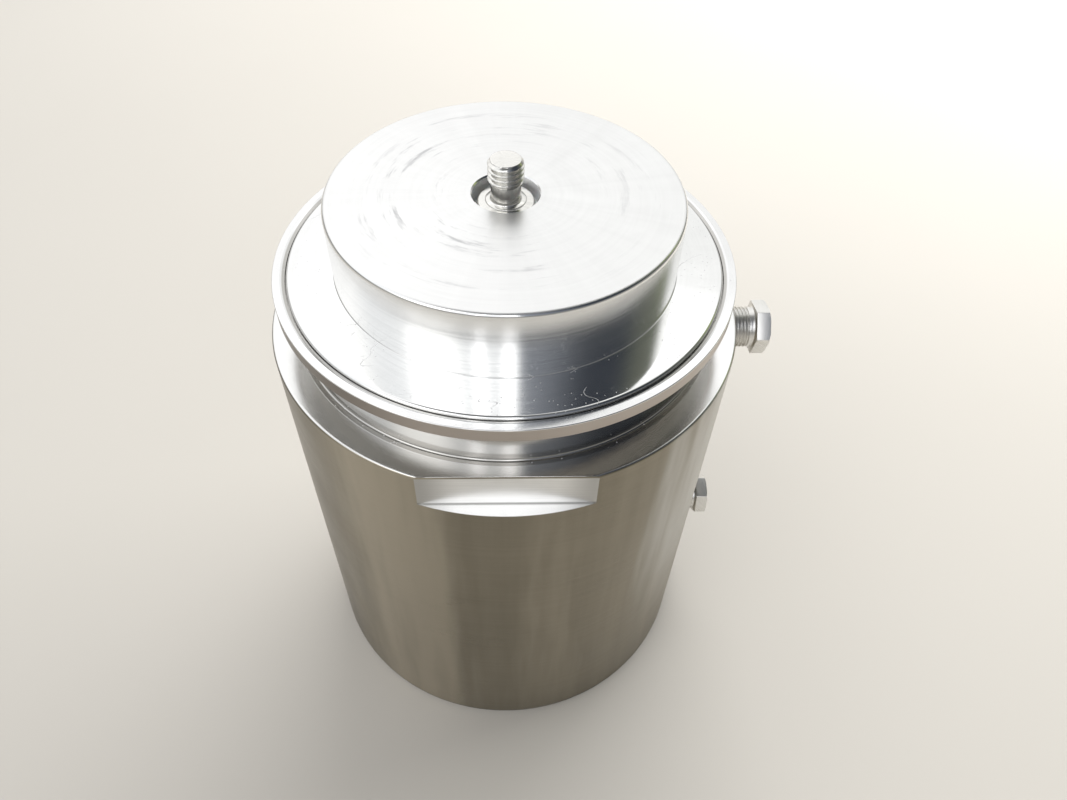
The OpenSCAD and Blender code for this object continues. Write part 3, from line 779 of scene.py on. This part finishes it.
def build_plug(port, head_af, hex_turn, thread_len, material, body):
    """A hex plug along +X: the shank inside the tape, the bare thread, a plain neck and the head."""
    pitch = PORT_PITCH
    lo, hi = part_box(port + "_plug")
    z = (lo.z + hi.z) / 2
    r = half_width(port + "_tape")
    head_t = 5.7 * MM
    head_x = hi.x - head_t
    count = 96
    tape_end = JACKET_R - 3 * MM
    depth = 0.6 * pitch
    rows = [ring(1e-5, 0, count), ring(r - 1.2 * MM, 0, count), ring(r - 0.65 * MM, 0.6 * MM, count)]
    length = tape_end - lo.x
    rows += [ring(r - 0.65 * MM, length - 0.05 * MM, count)]
    rows += thread_rows(count, length, length + thread_len, pitch, r, depth, 0.3 * MM, 0.7 * MM, 0.1 * MM)
    neck_r = r - 0.1 * MM
    run_out = length + thread_len
    rows += [ring(neck_r, run_out + 0.3 * MM, count), ring(neck_r, run_out + 0.6 * MM, count),
             ring(neck_r, head_x - lo.x - 0.5 * MM, count),
             ring(neck_r + 0.15 * MM, head_x - lo.x - 0.15 * MM, count),
             ring(neck_r + 0.5 * MM, head_x - lo.x + 0.02 * MM, count),
             ring(neck_r + 0.5 * MM, head_x - lo.x + 1 * MM, count),
             ring(1e-5, head_x - lo.x + 1 * MM, count)]
    shank = grid_mesh(port + "_shank", rows, False, 50)
    close_ends(shank)
    along_x(shank, lo.x, z)
    head = hex_head(port + "_head", head_af, head_t, hex_turn)
    along_x(head, head_x, z)
    dress(shank, material, "plug_steel", body)
    dress(head, material, "plug_steel", body, port + "_plug")


# ---- materials on the pieces -------------------------------------------------------

def make_materials():
    """All materials by short name. The lighter colour of a steel comes before the darker."""
    m = {}
    # the jacket steel's dark warm brown is painted reflection: it stands for a brown wooden bench seen in the
    # satin wall
    m["jacket"] = steel("jacket_steel", (0.300, 0.268, 0.208), (0.222, 0.198, 0.150), 0.30, ring_mm=5.0,
                        ring_bump=0.3, streak=0.45, smudge=0.3, anisotropic=0.55, zones=jacket_zones)
    m["flange"] = steel("flange_steel", (0.86, 0.86, 0.86), (0.78, 0.78, 0.78), 0.10, ring_mm=6.0,
                        ring_bump=0.10, streak=0.1, smudge=0.3, anisotropic=0.3, zones=flange_zones)
    m["lid"] = steel("lid_steel", (0.88, 0.88, 0.875), (0.78, 0.78, 0.775), 0.12, ring_mm=6.0,
                     ring_bump=0.14, streak=0.15, smudge=0.35, anisotropic=0.4, zones=lid_zones)
    m["plug"] = steel("plug_steel", (0.86, 0.85, 0.82), (0.72, 0.71, 0.68), 0.16, ring_mm=5.0,
                      ring_bump=0.2, anisotropic=0.2)
    m["port"] = steel("port_steel", (0.88, 0.87, 0.85), (0.72, 0.71, 0.68), 0.27, ring_bump=0.0,
                      streak=0.1, anisotropic=0.0)
    m["thin"] = steel("thin_steel", (0.72, 0.72, 0.71), (0.62, 0.62, 0.61), 0.22, ring_mm=3.0,
                      ring_bump=0.1, anisotropic=0.3)
    m["screw"] = steel("screw_steel", (0.58, 0.58, 0.57), (0.44, 0.44, 0.43), 0.3, ring_mm=6.0)
    m["spring"] = steel("clip_steel", (0.25, 0.25, 0.26), (0.16, 0.16, 0.17), 0.35, ring_mm=6.0)
    m["copper"] = steel("copper", (0.86, 0.56, 0.41), (0.74, 0.44, 0.30), 0.2, ring_mm=3.0)
    m["getter"] = steel("getter_aluminium", (0.80, 0.80, 0.78), (0.68, 0.68, 0.66), 0.3, ring_mm=4.0)
    m["ptfe"] = plastic("ptfe", (0.90, 0.90, 0.87), (0.83, 0.83, 0.79), 0.45, subsurface=0.15)
    m["rubber"] = plastic("nitrile", (0.035, 0.035, 0.037), (0.02, 0.02, 0.021), 0.55, grain_bump=0.4)
    m["foam"] = foam_material()
    m["foil"] = foil_material()
    m["beads"] = beads_material()
    m["epoxy"] = weave_material()
    return m


def dress_cad_nodes(m):
    """Materials for the CAD nodes that are shown as they are."""
    wear = {
        "base_plate": "jacket", "gauge_port_boss": "jacket", "base_seal": "rubber",
        "base_screws": "screw", "neck_tube": "thin", "inner_vessel": "thin", "vessel_top": "thin",
        "radiation_shield": "copper", "superinsulation": "foil", "getter_cup": "getter",
        "adsorbent": "beads", "support_post": "epoxy", "locating_cup": "thin", "lid_seal": "ptfe",
        "stopper": "foam", "baffle_plate": "thin", "stopper_bolts": "screw", "rod_bush": "ptfe",
        "bush_circlip": "spring", "seat_washer": "ptfe", "canister": "thin", "canister_bridge": "thin",
        "canister_nuts": "screw", "vacuum_port_tape": "ptfe", "gauge_port_tape": "ptfe"}
    for node, key in wear.items():
        obj = NODES[node]
        obj.data.materials.clear()
        obj.data.materials.append(m[key])


# ---- floor, light and camera ----------------------------------------------------------

def build_floor():
    g = Graph("floor_paint")
    place = g.add("ShaderNodeTexCoord").outputs["Object"]
    clouds = g.noise(place, 3.0, 4.0, 0.5)
    g.put(g.bsdf.inputs["Base Color"], g.mix(clouds, (0.57, 0.54, 0.49), (0.60, 0.57, 0.52)))
    g.bsdf.inputs["Roughness"].default_value = 0.6
    mesh = bpy.data.meshes.new("floor")
    s = 6.0
    mesh.from_pydata([(-s, -s, 0), (s, -s, 0), (s, s, 0), (-s, s, 0)], [], [(0, 1, 2, 3)])
    floor = bpy.data.objects.new("floor", mesh)
    floor.data.materials.append(g.material)
    bpy.context.scene.collection.objects.link(floor)
    floor.location.z = -0.0002


def area_light(name, place, aim, size, watts):
    """A rectangular lamp that lights the scene and isn't seen in the steel."""
    data = bpy.data.lights.new(name, "AREA")
    data.shape = "RECTANGLE"
    data.size, data.size_y = size
    data.energy = watts
    light = bpy.data.objects.new(name, data)
    bpy.context.scene.collection.objects.link(light)
    light.location = place
    light.rotation_euler = (Vector(aim) - Vector(place)).to_track_quat("-Z", "Y").to_euler()
    light.visible_camera = False
    light.visible_glossy = False
    return light


def build_world():
    """A studio around the vessel: white behind it and at front left, dark at front right,
    two narrow lamps in front, and a plain grey belt low down."""
    world = bpy.data.worlds.new("studio")
    bpy.context.scene.world = world
    g = Graph("studio", world)
    way = g.add("ShaderNodeSeparateXYZ")
    g.put(way.inputs[0], g.add("ShaderNodeTexCoord").outputs["Generated"])
    x, y, z = way.outputs
    turn = g.math("ARCTAN2", x, g.math("MULTIPLY", y, -1.0))       # 0 in front, + to the right
    turn = g.math("MULTIPLY", turn, 180 / math.pi)
    around = g.math("ABSOLUTE", turn)

    light = g.mix(g.ramp(turn, -175, 175), (1.22, 1.22, 1.22), (1.08, 1.085, 1.075))
    light = g.mix(g.band(z, 0.64, 0.73, 0.02), light, (1.42, 1.42, 1.42))
    colour = g.mix(g.ramp(around, 95, 125), (1.12, 1.14, 1.165), light)
    panel = g.band(turn, -68, -34, 8)
    colour = g.mix(panel, colour, (2.0, 2.0, 2.0))
    shade = g.mix(g.ramp(turn, 10, 62), (0.26, 0.28, 0.32), (0.045, 0.052, 0.066))
    shade = g.mix(g.ramp(turn, 80, 112), shade, (0.15, 0.16, 0.13))
    green = g.math("MULTIPLY", g.band(turn, 112, 124, 2.5), g.band(z, 0.05, 0.6, 0.05))
    shade = g.mix(green, shade, (0.42, 0.50, 0.20))
    dark = g.band(turn, 8.5, 132, 0.6, 8)
    colour = g.mix(dark, colour, shade)
    lamps = g.math("ADD", g.band(turn, -20.5, -14.5, 1.2), g.band(turn, -1.5, 5.5, 1.2))
    lamps = g.math("MULTIPLY", lamps, g.band(z, 0.45, 0.86, 0.05))
    colour = g.mix(lamps, colour, (2.8, 2.8, 2.85))
    colour = g.mix(g.ramp(z, 0.90, 0.95), colour, (0.16, 0.165, 0.17))
    belt = g.math("MULTIPLY", g.ramp(z, 0.44, 0.20), g.ramp(around, 170, 120))
    colour = g.mix(belt, colour, (0.30, 0.295, 0.28))
    colour = g.mix(g.ramp(z, 0.0, -0.08), colour, (0.30, 0.285, 0.26))
    shader = g.tree.nodes["Background"]
    g.put(shader.inputs["Color"], colour)
    shader.inputs["Strength"].default_value = 1.0


def build_light():
    build_world()
    area_light("window", (0.4, 1.4, 1.3), (0.1, 0.35, 0.0), (1.5, 1.0), 26)
    area_light("sheet", (1.2, 0.7, 0.75), (0.45, 0.2, 0.0), (0.8, 0.6), 10)


def build_camera():
    """A pinhole camera above the front of the vessel, looking down on it."""
    scale = JACKET_R
    data = bpy.data.cameras.new("camera")
    data.sensor_width = 36.0
    data.lens = 27.29
    data.clip_start = 0.01
    camera = bpy.data.objects.new("camera", data)
    bpy.context.scene.collection.objects.link(camera)
    pitch, roll, pan = math.radians(48.49), math.radians(-1.936), math.radians(2.869)
    cp, sp, cr, sr = math.cos(pitch), math.sin(pitch), math.cos(roll), math.sin(roll)
    forward = Vector((0, cp, -sp))
    right = Vector((cr, -sp * sr, -cp * sr))
    down = Vector((-sr, -sp * cr, -cp * cr))
    turn = Matrix.Rotation(-pan, 3, "Z")
    forward, right, down = turn @ forward, turn @ right, turn @ down
    camera.matrix_world = Matrix((
        (right.x, -down.x, -forward.x, 0), (right.y, -down.y, -forward.y, -2.667 * scale),
        (right.z, -down.z, -forward.z, 4.467 * scale), (0, 0, 0, 1)))
    bpy.context.scene.camera = camera
    bpy.context.scene.view_settings.view_transform = "Standard"


materials = make_materials()
dress_cad_nodes(materials)
build_jacket(materials["jacket"])
build_flange(materials["flange"])
build_lid(materials["lid"])
build_rod(materials["plug"])
build_plug("vacuum_port", 19.0 * MM, 17, 10.6 * MM, materials["port"], "vacuum_plug_body")
build_plug("gauge_port", 17.5 * MM, 45, 7.6 * MM, materials["port"], "gauge_plug_body")
build_floor()
build_light()
build_camera()
